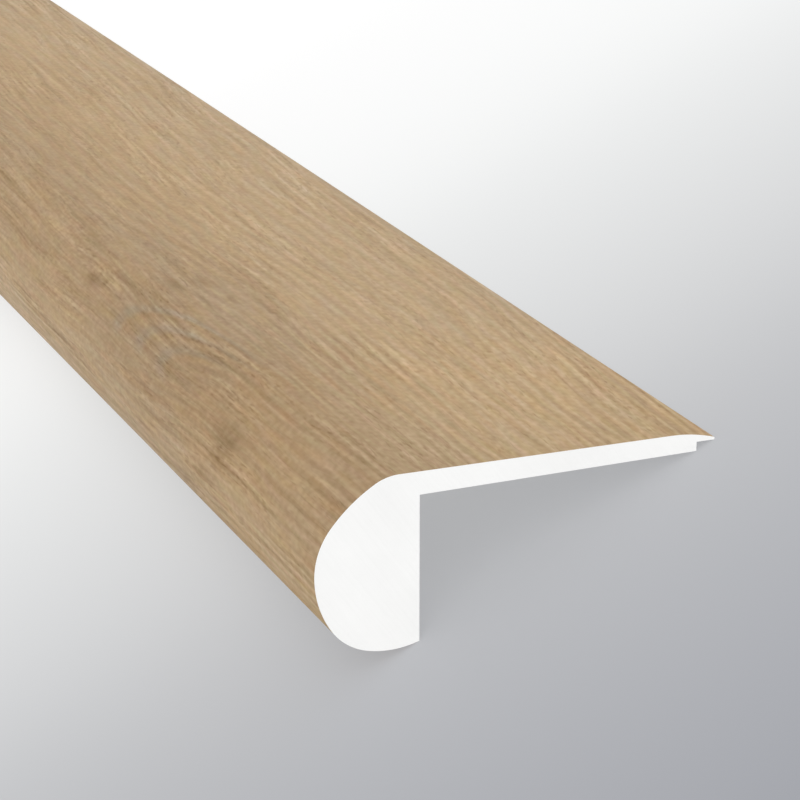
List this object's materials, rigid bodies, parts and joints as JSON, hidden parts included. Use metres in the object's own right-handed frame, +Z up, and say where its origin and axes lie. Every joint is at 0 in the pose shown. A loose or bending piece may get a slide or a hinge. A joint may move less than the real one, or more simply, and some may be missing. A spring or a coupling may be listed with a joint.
{
  "type": "flush stair nosing",
  "caption": "Long extruded flush stair nosing: bulging nose, thin deck and a rebated lip at the back; wood-look top and nose on a white core.",
  "frame": {"origin": "bottom centre of the box of the stick as it rests on a floor", "axes": "+Y along the stick, +X from the nose towards the lip, +Z up; the deck slopes down towards +X as the stick rests"},
  "size_m": [0.0604, 2.3876, 0.0241],
  "materials": {
    "nosing_vinyl": "light oak wood-look film, satin, on a plain white vinyl core"
  },
  "bodies": {
    "root": {"stair_nosing": "nosing_vinyl"}
  },
  "joints": []
}
